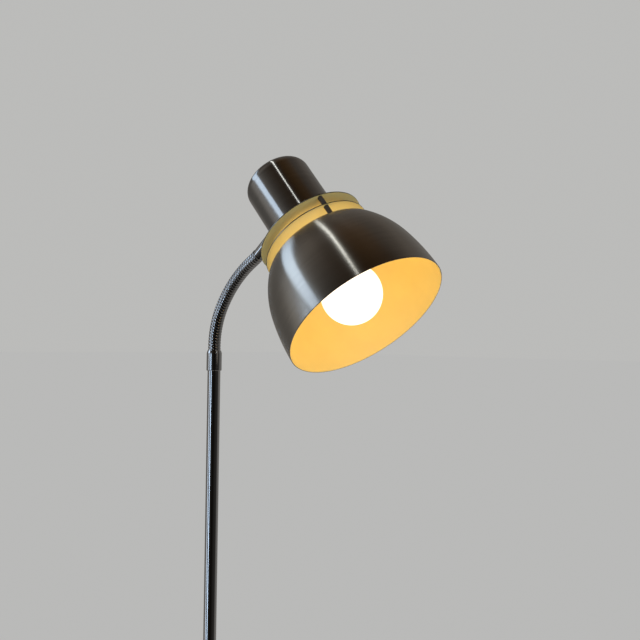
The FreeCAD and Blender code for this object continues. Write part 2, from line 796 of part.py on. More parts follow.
def make_neck_end(frame):
    """The smooth ferrule, the threaded tube through the cap's wall, its washer and nut."""
    outside = "(cap_radius + ferrule_length)"
    blank = cylinder("ferrule_blank", "ferrule_radius", "ferrule_length + saddle_depth",
                     (f"-{outside}", "0", "neck_station"), X_TURN)
    bore = cylinder("ferrule_bore", "neck_bore", "ferrule_length + saddle_depth",
                    (f"-{outside}", "0", "neck_station"), X_TURN)
    seat = cylinder("ferrule_seat", STUD_HOLE, "nipple_overlap + saddle_depth",
                    ("-cap_radius - nipple_overlap", "0", "neck_station"), X_TURN)
    saddle = cylinder("ferrule_saddle", "cap_radius", "cap_length", ("0", "0", PLATE_HIGH))
    keep(cut("ferrule", blank, bore, seat, saddle), "neck_ferrule", frame)

    inner_face = "(bracket_ear_distance - bracket_thickness)"
    reach = (f"(cap_radius + nipple_overlap - {inner_face} + washer_thickness + nut_thickness"
             " + neck_nipple_proud)")
    outer = cylinder("nipple_outer", "thread_radius", reach,
                     ("-cap_radius - nipple_overlap", "0", "neck_station"), X_TURN)
    inner = cylinder("nipple_inner", "neck_bore", reach,
                     ("-cap_radius - nipple_overlap", "0", "neck_station"), X_TURN)
    keep(cut("nipple", outer, inner), "neck_nipple", frame)

    washer = cylinder("neck_washer_outer", "neck_washer_radius", "washer_thickness",
                      (f"-{inner_face}", "0", "neck_station"), X_TURN)
    washer_hole = cylinder("neck_washer_hole", STUD_HOLE, "washer_thickness",
                           (f"-{inner_face}", "0", "neck_station"), X_TURN)
    keep(cut("neck_washer", washer, washer_hole), "neck_washer", frame)
    nut = hex_nut("neck_hex", "neck_station", (f"-{inner_face} + washer_thickness", "0"), X_TURN)
    keep(group("neck_nut", [nut]), "neck_nut", frame)


def make_holder(frame):
    cavity = "(holder_radius - holder_wall)"
    keep(turned("dome", [
        (cavity, DOME_LOW),
        ("holder_radius", DOME_LOW),
        ("holder_radius", f"{PLATE_HIGH} - holder_crown_height"),
        ("holder_crown_radius", PLATE_HIGH),
        (STUD_HOLE, PLATE_HIGH),
        (STUD_HOLE, CAVITY_TOP),
        (f"{cavity} - holder_chamfer", CAVITY_TOP),
        (cavity, f"{CAVITY_TOP} - holder_chamfer")]), "holder_dome", frame)
    keep(turned("skirt", [
        ("skirt_bore", f"{DOME_LOW} - skirt_length"),
        ("skirt_radius", f"{DOME_LOW} - skirt_length"),
        ("skirt_radius", f"{DOME_LOW} - skirt_flange_length"),
        ("holder_radius", f"{DOME_LOW} - skirt_flange_length"),
        ("holder_radius", DOME_LOW),
        ("skirt_bore", DOME_LOW)]), "holder_skirt", frame)
    keep(turned("contact_block", [
        ("0", BLOCK_LOW),
        ("contact_block_radius", BLOCK_LOW),
        ("contact_block_radius", f"{CAVITY_TOP} - contact_block_chamfer"),
        ("contact_block_radius - contact_block_chamfer", CAVITY_TOP),
        ("0", CAVITY_TOP)]), "contact_block", frame)
    keep(turned("centre_contact", [
        ("0", f"{BLOCK_LOW} - centre_contact_height"),
        ("centre_contact_radius - contact_bevel", f"{BLOCK_LOW} - centre_contact_height"),
        ("centre_contact_radius", BLOCK_LOW),
        ("0", BLOCK_LOW)]), "centre_contact", frame)
    keep(tube("shell", "shell_radius", "shell_radius - shell_wall",
              f"{BLOCK_LOW} - shell_length", BLOCK_LOW), "screw_shell", frame)
    keep(tube("holder_tube", "thread_radius", "thread_bore", CAVITY_TOP,
              f"{BRACKET_TOP} + nut_thickness + holder_nipple_proud"), "holder_nipple", frame)
    keep(group("holder_nut", [hex_nut("holder_hex", BRACKET_TOP)]), "holder_nut", frame)


def neck_curve(radius, height, neck, top):
    """Radius of the arc that runs from a point on the globe into the straight neck."""
    return f"((({radius} - {neck})^2 + ({top} - {height})^2) / (2 * ({radius} - {neck})))"


def make_bulb(frame):
    """The bulb, drawn from the globe's lowest point and screwed home against the contact."""
    frame = frame.multiply(Placement(Vector(0, 0, value(BULB_FOOT)), Rotation()))
    slope = "bulb_neck_angle"
    neck_start = "(bulb_glass_length - bulb_collar_length)"
    neck = "bulb_neck_radius"
    waist = (f"(bulb_radius * cos({slope}))", f"(bulb_radius * (1 + sin({slope})))")
    inner = "(bulb_radius - bulb_wall)"
    inner_neck = "(bulb_neck_radius - bulb_wall)"
    inner_waist = (f"({inner} * cos({slope}))", f"(bulb_radius + {inner} * sin({slope}))")
    keep(turned("glass", [
        ("0", "0", "bulb_radius", 1),
        ("bulb_radius", "bulb_radius", "bulb_radius", 1),
        (*waist, neck_curve(*waist, neck, neck_start), -1),
        (neck, neck_start),
        (neck, "bulb_glass_length"),
        (inner_neck, "bulb_glass_length"),
        (inner_neck, neck_start, neck_curve(*inner_waist, inner_neck, neck_start), 1),
        (*inner_waist, inner, -1),
        (inner, "bulb_radius", inner, -1),
        ("0", "bulb_wall")]), "bulb_glass", frame)
    keep(turned("bulb_thread", [
        ("0", "bulb_glass_length"),
        ("bulb_thread_radius", "bulb_glass_length"),
        ("bulb_thread_radius", BULB_BASE_TOP),
        ("bulb_taper_radius", BULB_TAPER_TOP),
        ("0", BULB_TAPER_TOP)]), "bulb_base", frame)
    keep(turned("bulb_end", [
        ("0", BULB_TAPER_TOP),
        ("bulb_tip_radius", BULB_TAPER_TOP),
        ("bulb_tip_radius - contact_bevel", BULB_TOP),
        ("0", BULB_TOP)]), "bulb_tip", frame)


def make_wiring(frame):
    keep(group("terminal_block", [
        box("terminal_block_box", "block_length", "block_width", "block_height",
            ("block_distance", "-block_width / 2", BRACKET_TOP))]), "terminal_block", frame)
    block_top = value(f"{BRACKET_TOP} + block_height")

    pitch = value("rib_pitch")
    rib_end = link_ends()[-1] * pitch
    neck = neck_edges(link_ends()[-2] * pitch + value("lead_end_gap"), rib_end)
    drop = value("block_distance + block_length - lead_inset")
    corner = frame.multVec(Vector(drop, 0, value("neck_station")))
    inside = pipe_edges([
        (neck_place(rib_end)[0], 0),
        (corner, value("lead_head_bend")),
        (frame.multVec(Vector(drop, 0, block_top)), 0)])
    keep(shaped("lead_head", swept(neck + inside, value("lead_radius"))), "head_lead")

    rise = value("block_distance + wire_inset")
    crest = block_top + value("wire_rise") + rise / 2
    foot = value(CAVITY_TOP)
    wire = value("wire_radius")
    spread = value("wire_spacing / 2")
    wires = [pipe([
        (Vector(rise, side, block_top), 0),
        (Vector(rise, side, crest), rise / 2),
        (Vector(0, side, crest), rise / 2),
        (Vector(0, side, foot), 0)], wire) for side in (-spread, spread)]
    keep(shaped("wires_holder", Part.makeCompound(wires)), "holder_wires", frame)

    switch_foot = value(f"{SWITCH_SEAT} - switch_depth")
    spread = value("switch_wire_spacing / 2")
    start_x = value("switch_wire_head")
    end_x = value("block_distance + switch_wire_foot")
    feeds = [pipe([
        (Vector(start_x, side, switch_foot), 0),
        (Vector(end_x, side, block_top), 0)], wire) for side in (-spread, spread)]
    reach = value("cap_radius")
    room = Part.makeBox(2 * reach, 2 * reach, switch_foot - block_top,
                        Vector(-reach, -reach, block_top))
    keep(shaped("wires_switch", Part.makeCompound([feed.common(room) for feed in feeds])),
         "switch_wires", frame)


def make_switch(frame):
    well = f"({BEZEL_TOP} + button_proud - button_length - button_room)"
    bore = "(button_radius + button_gap)"
    keep(turned("switch", [
        ("0", f"{SWITCH_SEAT} - switch_depth"),
        ("switch_radius", f"{SWITCH_SEAT} - switch_depth"),
        ("switch_radius", SWITCH_SEAT),
        ("switch_neck_radius", SWITCH_SEAT),
        ("switch_neck_radius", BEZEL_TOP),
        (bore, BEZEL_TOP),
        (bore, well),
        ("0", well)]), "switch_body", frame)
    keep(turned("bezel", [
        ("switch_neck_radius + fit_gap", CAP_TOP),
        ("bezel_radius", CAP_TOP),
        ("bezel_radius", f"{BEZEL_TOP} - bezel_edge"),
        ("bezel_radius - bezel_edge", BEZEL_TOP),
        ("switch_neck_radius + fit_gap", BEZEL_TOP)]), "switch_bezel", frame)
    top = f"({BEZEL_TOP} + button_proud)"
    keep(turned("button", [
        ("0", f"{top} - button_length"),
        ("button_radius", f"{top} - button_length"),
        ("button_radius", f"{top} - button_edge", "button_edge", 1),
        ("button_radius - button_edge", top),
        ("0", top)]), "switch_button", frame)


def check_document():
    """Stop if any object failed or any sub-part has no sound solid."""
    for item in doc.Objects:
        if "Invalid" in item.State or "Error" in item.State:
            raise RuntimeError(f"{item.Label} did not recompute: {item.State}")
    for piece in subparts:
        shape = piece.Shape
        if shape.isNull() or not shape.isValid() or not shape.Solids:
            raise RuntimeError(f"{piece.Label} has no sound solid")


make_base()
make_pole()
make_neck()
make_stand_lead()
HEAD = head_frame()
make_shade(HEAD)
make_louvres(HEAD)
make_cap(HEAD)
make_neck_end(HEAD)
make_holder(HEAD)
make_bulb(HEAD)
make_wiring(HEAD)
make_switch(HEAD)
doc.recompute()
check_document()

os.makedirs(OUT_FOLDER, exist_ok=True)
for piece in subparts:
    piece.Shape.exportStep(os.path.join(OUT_FOLDER, piece.Label + ".step"))
    print(f"{piece.Label}: {len(piece.Shape.Solids)} solid(s), {piece.Shape.Volume:.1f} mm3")
print(f"{len(subparts)} sub-parts")
for index, rib in enumerate(link_ends()[1:-1], start=1):
    point, way = neck_place(rib * value("rib_pitch"))
    print(f"joint {index}: centre {point.x:.3f} {point.z:.3f}, direction {way.x:.5f} {way.z:.5f}")
print("head frame:", HEAD)
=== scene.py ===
import math

import bpy
from mathutils import Matrix, Vector


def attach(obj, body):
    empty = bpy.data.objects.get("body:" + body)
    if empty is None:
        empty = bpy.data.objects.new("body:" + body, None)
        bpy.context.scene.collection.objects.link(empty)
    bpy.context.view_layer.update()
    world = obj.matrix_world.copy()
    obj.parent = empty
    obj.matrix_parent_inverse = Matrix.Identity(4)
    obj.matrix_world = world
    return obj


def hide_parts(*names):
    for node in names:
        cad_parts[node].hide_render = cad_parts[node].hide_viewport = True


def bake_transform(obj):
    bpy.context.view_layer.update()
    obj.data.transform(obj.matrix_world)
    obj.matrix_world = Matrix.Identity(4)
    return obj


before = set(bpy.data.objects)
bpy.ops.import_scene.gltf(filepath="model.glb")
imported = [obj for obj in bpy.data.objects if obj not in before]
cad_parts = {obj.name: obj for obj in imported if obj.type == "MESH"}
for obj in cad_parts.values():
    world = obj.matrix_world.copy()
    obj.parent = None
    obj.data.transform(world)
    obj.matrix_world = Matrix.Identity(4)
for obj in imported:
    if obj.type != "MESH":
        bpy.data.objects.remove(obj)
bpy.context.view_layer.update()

# The looks of a gooseneck reading floor lamp. Lengths are in metres, in the row's frame. The
# outlines of the turned pieces are in millimetres, in the head's own frame.

MM = 0.001

# ---------------------------------------------------------------- places and sizes

# Where the neck's centre line starts, above the floor.
NECK_FOOT = 1.100
# The neck's centre line as (length or bend radius, turn in degrees), from the top collar up.
NECK_RUNS = ((0.004, 0), (0.088, 30), (0.130, 28), (0.0065, 0), (0.050, -8.9))
NECK_RADIUS = 0.00675
NECK_SIDES = 40
RIB_PITCH = 0.003197
RIB_COUNT = 40
RIB_DEPTH = 0.0009
# The power in a rib's outline: 2 makes a half ellipse, and a higher one a flatter crown.
RIB_POWER = 6
STEPS_PER_RIB = 10
FERRULE_LENGTH = 0.03313
CAP_RADIUS = 0.035
# How far up the head's axis, from the shade's mouth, the neck arrives.
NECK_STATION = 0.14718
# Where the neck's joints lie, in ribs from its foot.
JOINT_RIBS = (5, 11, 17, 23, 29, 35)

BULB_RADIUS = 30
BULB_NECK_RADIUS = 12.9
BULB_LENGTH = 78
# Where the globe starts to narrow into the bulb's neck, as an angle from the globe's middle.
BULB_TILT = math.radians(45)


def placed(right, up, back, spot):
    """The matrix of an object with its own X, Y and Z axes along three directions."""
    return Matrix((
        (right[0], up[0], back[0], spot[0]),
        (right[1], up[1], back[1], spot[1]),
        (right[2], up[2], back[2], spot[2]),
        (0, 0, 0, 1)))


def neck_place(length):
    """Point and direction of the neck's centre line, at a length from the top collar."""
    spot = Vector((0, 0, NECK_FOOT))
    lean = 0.0
    left = length
    for size, degrees in NECK_RUNS:
        if degrees == 0:
            part = min(left, size)
            spot += Vector((math.sin(lean), 0, math.cos(lean))) * part
        else:
            turn = math.radians(degrees)
            part = min(left, abs(size * turn))
            bend = math.copysign(size, turn)
            after = lean + part / bend
            spot += Vector((math.cos(lean) - math.cos(after), 0,
                            math.sin(after) - math.sin(lean))) * bend
            lean = after
        left -= part
        if left <= 0:
            break
    way = Vector((math.sin(lean), 0, math.cos(lean)))
    return spot + way * max(left, 0), way


def head_matrix():
    """The head's own frame: Z along its axis from the shade's mouth to the cap."""
    arrival, way = neck_place(RIB_COUNT * RIB_PITCH + FERRULE_LENGTH + CAP_RADIUS)
    turn = Matrix.Rotation(math.atan2(way.x, way.z) - math.pi / 2, 4, "Y")
    axis = turn @ Vector((0, 0, 1))
    return Matrix.Translation(arrival - axis * NECK_STATION) @ turn


HEAD = head_matrix()

# ---------------------------------------------------------------- camera

CAMERA_PLACE = (0.78992, -0.70006, 1.11283)
CAMERA_RIGHT = Vector((0.74093, 0.67144, 0.01396))
CAMERA_UP = Vector((0.00372, -0.02489, 0.99968))
CAMERA_LENS = 54
CAMERA_SENSOR = 36


def make_camera():
    data = bpy.data.cameras.new("camera")
    data.lens = CAMERA_LENS
    data.sensor_width = CAMERA_SENSOR
    camera = bpy.data.objects.new("camera", data)
    bpy.context.collection.objects.link(camera)
    back = CAMERA_RIGHT.cross(CAMERA_UP).normalized()
    camera.matrix_world = placed(CAMERA_RIGHT, CAMERA_UP, back, CAMERA_PLACE)
    bpy.context.scene.camera = camera


# ---------------------------------------------------------------- materials

def new_material(name, colour, metallic, roughness):
    material = bpy.data.materials.new(name)
    material.use_nodes = True
    shader = material.node_tree.nodes["Principled BSDF"]
    shader.inputs["Base Color"].default_value = (*colour, 1)
    shader.inputs["Metallic"].default_value = metallic
    shader.inputs["Roughness"].default_value = roughness
    return material, material.node_tree, shader


def maths(tree, operation, *values):
    """The result of a math node on sockets or numbers."""
    node = tree.nodes.new("ShaderNodeMath")
    node.operation = operation
    for place, value in zip(node.inputs, values):
        if isinstance(value, (int, float)):
            place.default_value = value
        else:
            tree.links.new(value, place)
    return node.outputs[0]


def noise(tree, vector, scale, detail=2.0, rough=0.5):
    node = tree.nodes.new("ShaderNodeTexNoise")
    node.inputs["Scale"].default_value = scale
    node.inputs["Detail"].default_value = detail
    node.inputs["Roughness"].default_value = rough
    tree.links.new(vector, node.inputs["Vector"])
    return node.outputs["Fac"]


def spread(tree, fac, low, high):
    """Map 0.3..0.7 of a noise onto low..high."""
    node = tree.nodes.new("ShaderNodeMapRange")
    node.inputs["From Min"].default_value = 0.3
    node.inputs["From Max"].default_value = 0.7
    node.inputs["To Min"].default_value = low
    node.inputs["To Max"].default_value = high
    tree.links.new(fac, node.inputs["Value"])
    return node.outputs["Result"]


def shaded(tree, shader, fac, colour, dark, light):
    """Let the base colour run from dark to light times a colour, with a noise."""
    node = tree.nodes.new("ShaderNodeMix")
    node.data_type = "RGBA"
    node.inputs["A"].default_value = (*(part * dark for part in colour), 1)
    node.inputs["B"].default_value = (*(min(part * light, 1) for part in colour), 1)
    tree.links.new(spread(tree, fac, 0, 1), node.inputs["Factor"])
    tree.links.new(node.outputs["Result"], shader.inputs["Base Color"])


def roughened(tree, shader, fac, roughness, least, most):
    """Let the roughness run from least to most times a value, with a noise."""
    tree.links.new(spread(tree, fac, roughness * least, roughness * most),
                   shader.inputs["Roughness"])


def bumped(tree, shader, height, strength, distance):
    node = tree.nodes.new("ShaderNodeBump")
    node.inputs["Strength"].default_value = strength
    node.inputs["Distance"].default_value = distance
    tree.links.new(height, node.inputs["Height"])
    tree.links.new(node.outputs["Normal"], shader.inputs["Normal"])


def object_space(tree):
    return tree.nodes.new("ShaderNodeTexCoord").outputs["Object"]


def ring_space(tree, along, around):
    """Coordinates that change fast along and across a turned piece and slowly round it."""
    split = tree.nodes.new("ShaderNodeSeparateXYZ")
    tree.links.new(object_space(tree), split.inputs["Vector"])
    x, y, z = split.outputs
    square = maths(tree, "ADD", maths(tree, "MULTIPLY", x, x), maths(tree, "MULTIPLY", y, y))
    travel = maths(tree, "SUBTRACT", z, maths(tree, "SQRT", square))
    joined = tree.nodes.new("ShaderNodeCombineXYZ")
    for letter, source, scale in zip("XYZ", (x, y, travel), (around, around, along)):
        tree.links.new(maths(tree, "MULTIPLY", source, scale), joined.inputs[letter])
    return joined.outputs["Vector"]


def brushed_metal(name, colour, roughness=0.24, anisotropy=0.93):
    """Metal brushed in rings round the piece's own Z axis."""
    material, tree, shader = new_material(name, colour, 1.0, roughness)
    shader.inputs["Anisotropic"].default_value = anisotropy
    shader.inputs["Anisotropic Rotation"].default_value = 0.25
    tangent = tree.nodes.new("ShaderNodeTangent")
    tangent.direction_type = "RADIAL"
    tangent.axis = "Z"
    tree.links.new(tangent.outputs["Tangent"], shader.inputs["Tangent"])
    grain = noise(tree, ring_space(tree, along=2600, around=14), scale=1, detail=3, rough=0.65)
    broad = noise(tree, ring_space(tree, along=260, around=10), scale=1)
    shaded(tree, shader, grain, colour, dark=0.86, light=1.1)
    roughened(tree, shader, broad, roughness, least=0.95, most=1.06)
    bumped(tree, shader, grain, strength=0.05, distance=0.00002)
    return material


def chrome(name, colour=(0.80, 0.80, 0.81), roughness=0.045):
    """Plated or plain polished metal, with faint smears."""
    material, tree, shader = new_material(name, colour, 1.0, roughness)
    smear = noise(tree, object_space(tree), scale=55, detail=4, rough=0.6)
    fine = noise(tree, object_space(tree), scale=900)
    roughened(tree, shader, smear, roughness, least=0.6, most=2.2)
    bumped(tree, shader, fine, strength=0.03, distance=0.00002)
    return material


def paint(name, colour, roughness=0.45, grain=700, depth=0.1, variation=0.03):
    """Paint, plastic, rubber or cast metal, by how coarse and deep its grain is."""
    material, tree, shader = new_material(name, colour, 0.0, roughness)
    space = object_space(tree)
    cloud = noise(tree, space, scale=40, detail=3)
    shaded(tree, shader, cloud, colour, dark=1 - variation, light=1 + variation)
    roughened(tree, shader, cloud, roughness, least=0.9, most=1.12)
    pores = noise(tree, space, scale=grain, detail=3)
    bumped(tree, shader, pores, strength=depth, distance=0.00005)
    return material


def lit_glass(name, colour, roughness, glow, strength):
    """Opal glass that is lit from inside."""
    material, _, shader = new_material(name, colour, 0.0, roughness)
    shader.inputs["Emission Color"].default_value = (*glow, 1)
    shader.inputs["Emission Strength"].default_value = strength
    shader.inputs["Coat Weight"].default_value = 0.3
    shader.inputs["Coat Roughness"].default_value = 0.1
    return material


# Each material's maker and the values that it is given.
RECIPES = {
    # Brushed aluminium like the cap; its warmer tint is a painted warm reflection.
    "shade_outside": (brushed_metal, dict(colour=(0.64, 0.60, 0.55))),
    # The same brushed aluminium as the shade, made darker: painted shade for the cap's darker
    # reflections.
    "cap_outside": (brushed_metal, dict(colour=(0.54, 0.52, 0.50), roughness=0.18)),
    "base_cover": (brushed_metal, dict(colour=(0.62, 0.60, 0.57))),
    # Cream paint inside the shade, made deeper yellow: partly the paint's own colour, partly
    # painted warm bulb light.
    "shade_inside": (paint, dict(colour=(0.88, 0.72, 0.30), roughness=0.5)),
    # The louvres' undersides share the shade's cream inside paint; this brighter, yellower copy is
    # painted bulb light.
    "louvre_inside": (paint, dict(colour=(0.97, 0.85, 0.38), roughness=0.5)),
    "louvre_top": (brushed_metal, dict(colour=(0.42, 0.40, 0.37), roughness=0.35, anisotropy=0.5)),
    "chrome_tube": (chrome, dict()),
    "chrome_fitting": (chrome, dict(colour=(0.78, 0.78, 0.79), roughness=0.06)),
    # The same chrome as the pole, made darker: painted shade for the ribbed neck's darker
    # reflections.
    "chrome_neck": (chrome, dict(colour=(0.62, 0.62, 0.63))),
    # Steel louvre spacers, screws and nuts, made near black: painted shade for posts that stand
    # backlit against the lit louvres.
    "dark_steel": (paint, dict(colour=(0.05, 0.04, 0.035), roughness=0.4)),
    "zinc": (chrome, dict(colour=(0.62, 0.63, 0.64), roughness=0.3)),
    "brass": (chrome, dict(colour=(0.80, 0.60, 0.26), roughness=0.2)),
    "cast_iron": (paint, dict(colour=(0.03, 0.03, 0.032), roughness=0.7, grain=260, depth=0.6,
                              variation=0.25)),
    "pad": (paint, dict(colour=(0.03, 0.03, 0.03), roughness=0.85, grain=500, depth=0.5,
                        variation=0.2)),
    "black_plastic": (paint, dict(colour=(0.02, 0.02, 0.02), roughness=0.4, grain=900, depth=0.15,
                                  variation=0.1)),
    "white_plastic": (paint, dict(colour=(0.78, 0.76, 0.70), roughness=0.4)),
    "ceramic": (paint, dict(colour=(0.80, 0.78, 0.72), roughness=0.25)),
    "sheath": (paint, dict(colour=(0.60, 0.60, 0.58), roughness=0.5)),
    "cores": (paint, dict(colour=(0.05, 0.12, 0.35))),
    "lit_glass": (lit_glass, dict(colour=(0.95, 0.94, 0.9), roughness=0.25,
                                  glow=(1.0, 0.97, 0.92), strength=1.15)),
}

# The nodes of the CAD model by what they are made of; some of these materials carry painted light
# or shade.
NODE_MATERIALS = {
    "pad": ("base_pad",),
    "cast_iron": ("base_weight",),
    "black_plastic": ("cord_inlet_bush", "terminal_block", "switch_body", "switch_button"),
    "zinc": ("base_stud", "base_washer", "base_nut", "neck_washer", "neck_nut", "neck_nipple",
             "holder_nipple", "holder_nut", "holder_bracket", "plate_screws", "bulb_base"),
    "chrome_tube": ("lower_pole", "upper_pole"),
    "chrome_fitting": ("foot_collar", "top_collar", "neck_ferrule", "switch_bezel"),
    "brass": ("pole_foot_bush", "pole_coupler", "neck_lower_fitting", "centre_contact",
              "screw_shell", "bulb_tip"),
    "chrome_neck": tuple(f"neck_link_{number}" for number in range(1, 8)),
    "sheath": ("stand_lead", "head_lead") + tuple(f"neck_lead_{number}" for number in range(2, 7)),
    "cores": ("holder_wires", "switch_wires"),
    "louvre_top": ("upper_plate", "louvre_ring"),
    "dark_steel": ("upper_spacers", "lower_spacers", "louvre_screws", "louvre_nuts"),
    "white_plastic": ("holder_dome", "holder_skirt"),
    "ceramic": ("contact_block",),
    "base_cover": ("base_cover",),
    "shade_outside": ("shade",),
    "cap_outside": ("cap",),
    "lit_glass": ("bulb_glass",),
}


def make_materials():
    return {name: make(name, **values) for name, (make, values) in RECIPES.items()}


def dress_nodes(materials):
    for name, nodes in NODE_MATERIALS.items():
        for node in nodes:
            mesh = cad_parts[node].data
            mesh.materials.clear()
            mesh.materials.append(materials[name])


# ---------------------------------------------------------------- turned meshes

# The side of the way from corner to corner of an outline on which an arc's centre lies.
LEFT = 1
RIGHT = -1
SHARP_ANGLE = math.radians(35)
# A radius below this is a point on the axis.
ON_AXIS = 1e-6


def new_piece(name, vertices, faces, materials):
    mesh = bpy.data.meshes.new(name)
    mesh.from_pydata(vertices, [], faces)
    for material in materials:
        mesh.materials.append(material)
    piece = bpy.data.objects.new(name, mesh)
    bpy.context.collection.objects.link(piece)
    return piece


def smoothed(piece):
    mesh = piece.data
    mesh.polygons.foreach_set("use_smooth", [True] * len(mesh.polygons))
    mesh.update()


def line(radius, height, slot=0):
    """A corner of an outline, with a straight line on to the next corner."""
    return radius, height, 0, 0, 1, slot


def arc(radius, height, curve, side, steps, slot=0):
    """A corner of an outline, with an arc of radius curve, in steps, on to the next corner."""
    return radius, height, curve, side, steps, slot


def arc_points(start, end, radius, side, steps):
    """Points after start on the short arc to end."""
    way = (end[0] - start[0], end[1] - start[1])
    length = math.hypot(*way)
    rise = math.sqrt(radius ** 2 - (length / 2) ** 2) * side
    centre = ((start[0] + end[0]) / 2 - way[1] / length * rise,
              (start[1] + end[1]) / 2 + way[0] / length * rise)
    first = math.atan2(start[1] - centre[1], start[0] - centre[0])
    turn = math.atan2(end[1] - centre[1], end[0] - centre[0]) - first
    turn = (turn + math.pi) % (2 * math.pi) - math.pi
    return [(centre[0] + radius * math.cos(first + turn * step / steps),
             centre[1] + radius * math.sin(first + turn * step / steps))
            for step in range(1, steps + 1)]


def outline_points(outline):
    """The points of an outline, and the material slot of the stretch after each."""
    points = []
    slots = []
    for index, (radius, height, curve, side, steps, slot) in enumerate(outline):
        following = outline[(index + 1) % len(outline)][:2]
        points.append((radius, height))
        if curve:
            points += arc_points((radius, height), following, curve, side, steps)[:-1]
        slots += [slot] * steps
    return points, slots


def lathe(name, outline, materials, around):
    """A closed turned mesh about the object's own Z axis, with around points to a ring."""
    points, slots = outline_points(outline)
    vertices = []
    rings = []
    for radius, height in points:
        first = len(vertices)
        if radius < ON_AXIS:
            rings.append((first,))
            vertices.append((0, 0, height * MM))
            continue
        for step in range(around):
            angle = 2 * math.pi * step / around
            vertices.append((radius * MM * math.cos(angle), radius * MM * math.sin(angle),
                             height * MM))
        rings.append(tuple(range(first, first + around)))
    faces = []
    face_slots = []
    for low, high, slot in zip(rings, rings[1:] + rings[:1], slots):
        if len(low) == 1 and len(high) == 1:
            continue
        for step in range(around):
            after = (step + 1) % around
            if len(low) == 1:
                face = (low[0], high[after], high[step])
            elif len(high) == 1:
                face = (low[step], low[after], high[0])
            else:
                face = (low[step], low[after], high[after], high[step])
            faces.append(face)
            face_slots.append(slot)
    piece = new_piece(name, vertices, faces, materials)
    piece.data.polygons.foreach_set("material_index", face_slots)
    smoothed(piece)
    piece.data.set_sharp_from_angle(angle=SHARP_ANGLE)
    return piece


def on_head(piece, node):
    piece.matrix_world = HEAD
    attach(piece, "head")
    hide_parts(node)


# ---------------------------------------------------------------- head pieces

# The second material slot of a two-sided piece, for the side that the bulb lights.
LIT = 1


def make_shade(materials):
    outline = [
        arc(82.5, 0.35, 230, LEFT, 16),
        arc(78.05, 45, 99.7, LEFT, 20),
        arc(61, 84, 12, LEFT, 10),
        line(56, 88),
        line(47.3, 88),
        line(47, 87.7),
        line(47, 87.3, LIT),
        line(47.3, 87, LIT),
        arc(55, 87, 12, RIGHT, 10, LIT),
        arc(60, 84, 99.7, RIGHT, 20, LIT),
        arc(77.05, 45, 230, RIGHT, 16, LIT),
        line(81.5, 0.35, LIT),
        line(81.75, 0.05),
        line(82.25, 0.05)]
    sides = [materials["shade_outside"], materials["shade_inside"]]
    on_head(lathe("bell_shade", outline, sides, around=256), "shade")


def flat_ring(name, inner, outer, foot, materials):
    """A flat ring of sheet with softened edges, lit on its underside by the bulb and given a
    painted lit colour there.
    """
    lip = 0.2
    head = foot + 1
    outline = [
        line(inner + lip, foot, LIT),
        line(outer - lip, foot),
        line(outer, foot + lip),
        line(outer, head - lip),
        line(outer - lip, head),
        line(inner + lip, head),
        line(inner, head - lip),
        line(inner, foot + lip, LIT)]
    sides = [materials["louvre_top"], materials["louvre_inside"]]
    return lathe(name, outline, sides, around=224)


def make_louvres(materials):
    ring = flat_ring("louvre_middle_ring", 38, 56.3, 99, materials)
    on_head(ring, "louvre_ring")
    plate = flat_ring("louvre_upper_plate", 24, 56, 111.5, materials)
    on_head(plate, "upper_plate")


def make_cap(materials):
    outline = [
        line(34.7, 112.5),
        line(35, 112.8),
        arc(35, 182, 12, LEFT, 14),
        line(23, 194),
        line(6.1, 194),
        line(6.1, 192.8),
        arc(23, 192.8, 10.8, RIGHT, 10),
        line(33.8, 182),
        line(33.8, 112.8),
        line(34.1, 112.5)]
    cap = lathe("cap_shell", outline, [materials["cap_outside"]], around=192)
    on_head(cap, "cap")


def make_bulb(materials):
    waist_radius = BULB_RADIUS * math.cos(BULB_TILT)
    hollow = (waist_radius - BULB_NECK_RADIUS) / (1 - math.cos(BULB_TILT))
    waist = BULB_RADIUS + BULB_RADIUS * math.sin(BULB_TILT)
    outline = [
        arc(0, 0, BULB_RADIUS, LEFT, 24),
        arc(BULB_RADIUS, BULB_RADIUS, BULB_RADIUS, LEFT, 14),
        arc(waist_radius, waist, hollow, RIGHT, 14),
        line(BULB_NECK_RADIUS, waist + hollow * math.sin(BULB_TILT)),
        line(BULB_NECK_RADIUS, BULB_LENGTH),
        line(0, BULB_LENGTH)]
    bulb = lathe("opal_bulb", outline, [materials["lit_glass"]], around=128)
    bulb.visible_shadow = False
    bulb.visible_diffuse = False
    on_head(bulb, "bulb_glass")


# ---------------------------------------------------------------- neck

def neck_tube(name, start, end, material):
    """A stretch of the wound chrome strip, from one length along the neck to another."""
    count = max(int(round((end - start) / (RIB_PITCH / STEPS_PER_RIB))), 2)
    side = Vector((0, 1, 0))
    vertices = []
    for index in range(count + 1):
        length = start + (end - start) * index / count
        point, way = neck_place(length)
        out = way.cross(side)
        for turn in range(NECK_SIDES):
            angle = 2 * math.pi * turn / NECK_SIDES
            phase = (length / RIB_PITCH + turn / NECK_SIDES) % 1.0
            rise = math.sqrt(max(1 - (2 * phase - 1) ** RIB_POWER, 0))
            radius = NECK_RADIUS - RIB_DEPTH + RIB_DEPTH * rise
            vertices.append(point + (side * math.cos(angle) + out * math.sin(angle)) * radius)
    faces = []
    for index in range(count):
        low = index * NECK_SIDES
        high = low + NECK_SIDES
        for turn in range(NECK_SIDES):
            after = (turn + 1) % NECK_SIDES
            faces.append((low + turn, high + turn, high + after, low + after))
    piece = new_piece(name, vertices, faces, [material])
    smoothed(piece)
    return piece


